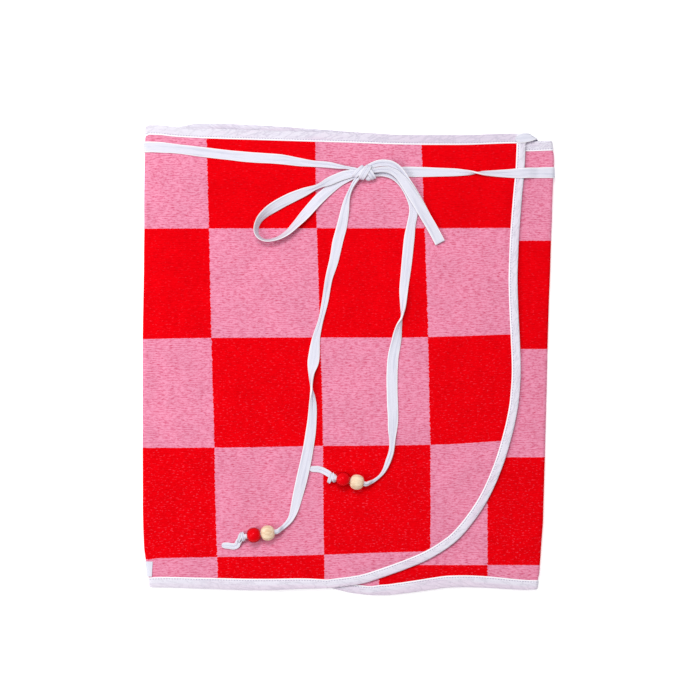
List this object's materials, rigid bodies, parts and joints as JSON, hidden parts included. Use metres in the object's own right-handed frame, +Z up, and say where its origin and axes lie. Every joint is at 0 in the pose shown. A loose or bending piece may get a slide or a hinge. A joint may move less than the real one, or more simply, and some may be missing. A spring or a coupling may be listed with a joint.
{
  "type": "towel wrap",
  "caption": "Checked terry wrap laid flat, front panel lapped over with a rounded corner, edges bound in white, two ties in a bow with wooden beads on their ends.",
  "frame": {"origin": "middle of the underside, on the surface that the wrap lies on", "axes": "+X to the right of the front view, where the front panel's free edge is; +Y from the hem towards the waist; +Z up from the surface"},
  "size_m": [0.4258, 0.4874, 0.0262],
  "materials": {
    "terry": "matt",
    "binding": "matt",
    "tie": "matt",
    "plain_wood": "satin",
    "red_wood": "gloss"
  },
  "bodies": {
    "root": {"wrap_cloth": "terry", "waist_binding": "binding", "edge_binding": "binding", "waist_ties": "tie", "blank_tab": "tie", "bead_plain_1": "plain_wood", "bead_red_1": "red_wood", "bead_plain_2": "plain_wood", "bead_red_2": "red_wood"}
  },
  "joints": []
}
